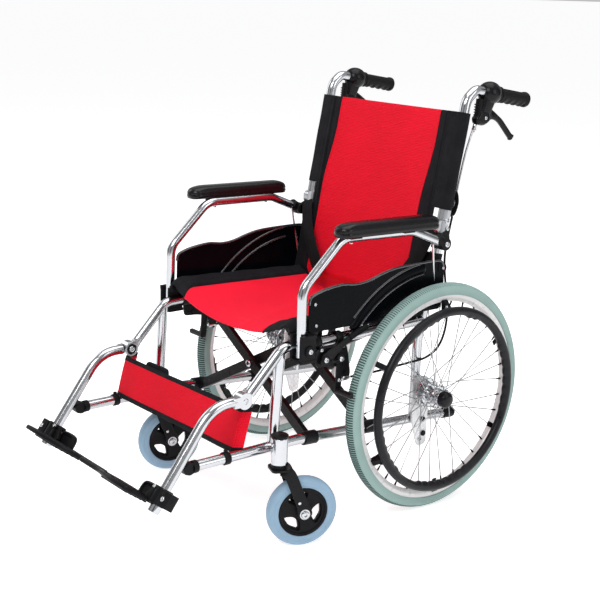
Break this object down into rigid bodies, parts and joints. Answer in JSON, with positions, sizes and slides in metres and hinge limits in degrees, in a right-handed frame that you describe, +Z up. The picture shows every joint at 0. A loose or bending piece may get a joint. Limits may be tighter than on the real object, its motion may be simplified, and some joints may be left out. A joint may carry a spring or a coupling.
{
  "type": "manual wheelchair",
  "caption": "Folding self-propelled wheelchair with push rims, swivel casters, flip-up armrests and footplates, sling seat and attendant brakes.",
  "frame": {"origin": "on the floor, under the middle of the chair", "axes": "+Z up, -Y toward the footplates, +X toward the sitter's left"},
  "size_m": [0.631, 1.0378, 0.9231],
  "materials": {
    "chrome_tube": "polished",
    "white_steel": "satin",
    "black_plastic": "matte",
    "gloss_black": "gloss",
    "black_steel": "satin",
    "grey_tyre": "matte",
    "caster_rubber": "matte",
    "rim_grey": "satin",
    "black_rubber": "matte",
    "seat_fabric": "woven",
    "back_fabric": "woven",
    "strap_fabric": "woven",
    "webbing": "woven"
  },
  "bodies": {
    "frame_left": {"side_frame_left": "chrome_tube", "axle_plate_left": "white_steel", "frame_fittings_left": "black_plastic", "arm_sockets_left": "black_plastic", "brake_bracket_left": "black_steel", "brake_cable_lower_left": "black_rubber", "back_lower": "back_fabric", "calf_strap": "strap_fabric", "lap_belt_left": "webbing"},
    "frame_right": {"side_frame_right": "chrome_tube", "axle_plate_right": "white_steel", "frame_fittings_right": "black_plastic", "arm_sockets_right": "black_plastic", "brake_bracket_right": "black_steel", "brake_cable_lower_right": "black_rubber", "lap_belt_right": "webbing"},
    "cross_brace_left": {"brace_left": "black_steel"},
    "cross_brace_right": {"brace_right": "black_steel", "seat": "seat_fabric"},
    "drive_wheel_left": {"tyre_left": "grey_tyre", "wheel_rim_left": "rim_grey", "wheel_hub_left": "chrome_tube", "handrim_left": "black_plastic"},
    "caster_left": {"caster_fork_left": "black_steel"},
    "caster_roller_left": {"caster_tyre_left": "caster_rubber", "caster_wheel_left": "black_plastic"},
    "armrest_left": {"armrest_tube_left": "chrome_tube", "armpad_left": "gloss_black", "side_guard_left": "black_plastic"},
    "backrest_left": {"back_cane_left": "chrome_tube", "push_grip_left": "black_rubber", "lever_clamp_left": "black_plastic", "brake_cable_upper_left": "black_rubber", "back_upper": "back_fabric"},
    "hand_lever_arm_left": {"hand_lever_left": "black_steel"},
    "parking_lever_arm_left": {"parking_lever_left": "chrome_tube"},
    "brake_shoe_arm_left": {"brake_shoe_left": "chrome_tube"},
    "legrest_left": {"legrest_tube_left": "chrome_tube", "footplate_hub_left": "black_plastic"},
    "footplate_flap_left": {"footplate_left": "black_plastic"},
    "drive_wheel_right": {"tyre_right": "grey_tyre", "wheel_rim_right": "rim_grey", "wheel_hub_right": "chrome_tube", "handrim_right": "black_plastic"},
    "caster_right": {"caster_fork_right": "black_steel"},
    "caster_roller_right": {"caster_tyre_right": "caster_rubber", "caster_wheel_right": "black_plastic"},
    "armrest_right": {"armrest_tube_right": "chrome_tube", "armpad_right": "gloss_black", "side_guard_right": "black_plastic"},
    "backrest_right": {"back_cane_right": "chrome_tube", "push_grip_right": "black_rubber", "lever_clamp_right": "black_plastic", "brake_cable_upper_right": "black_rubber"},
    "hand_lever_arm_right": {"hand_lever_right": "black_steel"},
    "parking_lever_arm_right": {"parking_lever_right": "chrome_tube"},
    "brake_shoe_arm_right": {"brake_shoe_right": "chrome_tube"},
    "legrest_right": {"legrest_tube_right": "chrome_tube", "footplate_hub_right": "black_plastic"},
    "footplate_flap_right": {"footplate_right": "black_plastic"}
  },
  "joints": [
    {"name": "fold", "type": "hinge", "parent": "frame_left", "child": "cross_brace_left", "pos_m": [0.213, 0.01472, 0.19902], "axis": [0, 0.9978, -0.0663], "range_deg": [0, 45], "deforming": ["seat", "back_lower", "back_upper", "calf_strap", "lap_belt_left", "lap_belt_right"]},
    {"name": "scissor", "type": "hinge", "parent": "cross_brace_left", "child": "cross_brace_right", "pos_m": [0, 0.0218, 0.30558], "axis": [0, 0.9978, -0.0663], "range_deg": [-90, 0], "deforming": ["seat", "back_lower", "back_upper", "calf_strap", "lap_belt_left", "lap_belt_right"]},
    {"name": "right_frame_pivot", "type": "hinge", "parent": "cross_brace_right", "child": "frame_right", "pos_m": [-0.213, 0.01472, 0.19902], "axis": [0, 0.9978, -0.0663], "range_deg": [0, 45], "deforming": ["seat", "back_lower", "back_upper", "calf_strap", "lap_belt_left", "lap_belt_right"]},
    {"name": "drive_wheel_spin_left", "type": "hinge", "parent": "frame_left", "child": "drive_wheel_left", "pos_m": [0.273, 0.227, 0.254], "axis": [1, 0, 0], "continuous": true},
    {"name": "caster_swivel_left", "type": "hinge", "parent": "frame_left", "child": "caster_left", "pos_m": [0.247, -0.183, 0.18], "axis": [0, 0, 1], "continuous": true},
    {"name": "caster_roll_left", "type": "hinge", "parent": "caster_left", "child": "caster_roller_left", "pos_m": [0.2641, -0.13601, 0.075], "axis": [0.9397, -0.342, 0], "continuous": true},
    {"name": "armrest_flip_left", "type": "hinge", "parent": "frame_left", "child": "armrest_left", "pos_m": [0.252, 0.251, 0.588], "axis": [-1, 0, 0], "range_deg": [0, 62]},
    {"name": "back_fold_left", "type": "hinge", "parent": "frame_left", "child": "backrest_left", "pos_m": [0.222, 0.275, 0.632], "axis": [-1, 0, 0], "range_deg": [0, 90], "deforming": ["brake_cable_lower_left", "brake_cable_upper_left", "back_upper", "back_lower"]},
    {"name": "hand_lever_squeeze_left", "type": "hinge", "parent": "backrest_left", "child": "hand_lever_arm_left", "pos_m": [0.222, 0.379, 0.849], "axis": [1, 0, 0], "range_deg": [0, 25], "stiffness_Nm_per_rad": 0.5},
    {"name": "parking_brake_left", "type": "hinge", "parent": "frame_left", "child": "parking_lever_arm_left", "pos_m": [0.243, -0.071, 0.382], "axis": [1, 0, 0], "range_deg": [0, 35]},
    {"name": "brake_shoe_pivot_left", "type": "hinge", "parent": "frame_left", "child": "brake_shoe_arm_left", "pos_m": [0.243, -0.029, 0.377], "axis": [1, 0, 0], "range_deg": [0, 5.5]},
    {"name": "legrest_swing_left", "type": "hinge", "parent": "frame_left", "child": "legrest_left", "pos_m": [0.215, -0.253, 0.322], "axis": [-1, 0, 0], "range_deg": [0, 60]},
    {"name": "footplate_flip_left", "type": "hinge", "parent": "legrest_left", "child": "footplate_flap_left", "pos_m": [0.196, -0.43661, 0.17396], "axis": [0, 0.8038, -0.5949], "range_deg": [0, 90]},
    {"name": "drive_wheel_spin_right", "type": "hinge", "parent": "frame_right", "child": "drive_wheel_right", "pos_m": [-0.273, 0.227, 0.254], "axis": [1, 0, 0], "continuous": true},
    {"name": "caster_swivel_right", "type": "hinge", "parent": "frame_right", "child": "caster_right", "pos_m": [-0.247, -0.183, 0.18], "axis": [0, 0, 1], "continuous": true},
    {"name": "caster_roll_right", "type": "hinge", "parent": "caster_right", "child": "caster_roller_right", "pos_m": [-0.2349, -0.13448, 0.075], "axis": [0.9703, -0.2419, 0], "continuous": true},
    {"name": "armrest_flip_right", "type": "hinge", "parent": "frame_right", "child": "armrest_right", "pos_m": [-0.252, 0.251, 0.588], "axis": [-1, 0, 0], "range_deg": [0, 62]},
    {"name": "back_fold_right", "type": "hinge", "parent": "frame_right", "child": "backrest_right", "pos_m": [-0.222, 0.275, 0.632], "axis": [-1, 0, 0], "range_deg": [0, 90], "deforming": ["brake_cable_lower_right", "brake_cable_upper_right"]},
    {"name": "hand_lever_squeeze_right", "type": "hinge", "parent": "backrest_right", "child": "hand_lever_arm_right", "pos_m": [-0.222, 0.379, 0.849], "axis": [1, 0, 0], "range_deg": [0, 25], "stiffness_Nm_per_rad": 0.5},
    {"name": "parking_brake_right", "type": "hinge", "parent": "frame_right", "child": "parking_lever_arm_right", "pos_m": [-0.243, -0.071, 0.382], "axis": [1, 0, 0], "range_deg": [0, 35]},
    {"name": "brake_shoe_pivot_right", "type": "hinge", "parent": "frame_right", "child": "brake_shoe_arm_right", "pos_m": [-0.243, -0.029, 0.377], "axis": [1, 0, 0], "range_deg": [0, 5.5]},
    {"name": "legrest_swing_right", "type": "hinge", "parent": "frame_right", "child": "legrest_right", "pos_m": [-0.215, -0.253, 0.322], "axis": [-1, 0, 0], "range_deg": [0, 60]},
    {"name": "footplate_flip_right", "type": "hinge", "parent": "legrest_right", "child": "footplate_flap_right", "pos_m": [-0.196, -0.43661, 0.17396], "axis": [0, -0.8038, 0.5949], "range_deg": [0, 90]}
  ],
  "couplings": [
    {"joint": "scissor", "follows": "fold", "ratio": -2},
    {"joint": "right_frame_pivot", "follows": "fold", "ratio": 1},
    {"joint": "brake_shoe_pivot_left", "follows": "parking_brake_left", "ratio": 0.15429},
    {"joint": "footplate_flip_left", "follows": "fold", "ratio": 2},
    {"joint": "brake_shoe_pivot_right", "follows": "parking_brake_right", "ratio": 0.15429},
    {"joint": "footplate_flip_right", "follows": "fold", "ratio": 2},
    {"joint": "back_fold_right", "follows": "back_fold_left", "ratio": 1},
    {"joint": "legrest_swing_right", "follows": "legrest_swing_left", "ratio": 1}
  ]
}
